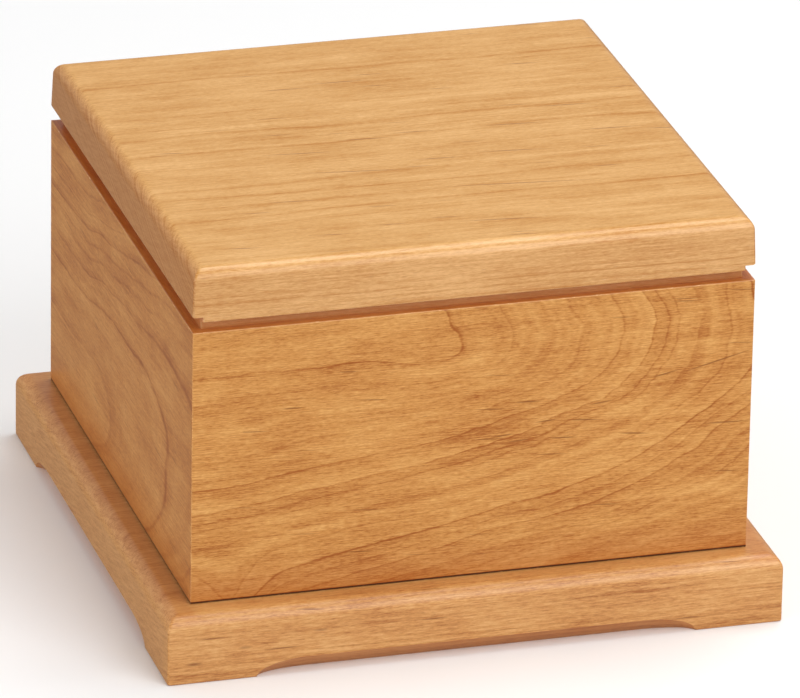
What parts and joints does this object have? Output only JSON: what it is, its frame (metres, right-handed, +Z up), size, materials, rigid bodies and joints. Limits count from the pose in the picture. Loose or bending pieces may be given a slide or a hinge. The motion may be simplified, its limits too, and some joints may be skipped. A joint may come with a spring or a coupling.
{
  "type": "cremation urn box",
  "caption": "Square lidded wooden box with mitred walls, a lift-off lid with rounded edges and a wider base board with arched bevels.",
  "frame": {"origin": "centre of the base board's underside", "axes": "+X to the box's right, +Y towards its back, +Z up"},
  "size_m": [0.2246, 0.2246, 0.1509],
  "materials": {
    "base_wood": "satin clear lacquer on honey-stained hardwood",
    "wall_wood": "satin clear lacquer on honey-stained hardwood",
    "lid_wood": "satin clear lacquer on honey-stained hardwood"
  },
  "bodies": {
    "root": {"base": "base_wood", "front_wall": "wall_wood", "back_wall": "wall_wood", "left_wall": "wall_wood", "right_wall": "wall_wood", "lid": "lid_wood"}
  },
  "joints": []
}
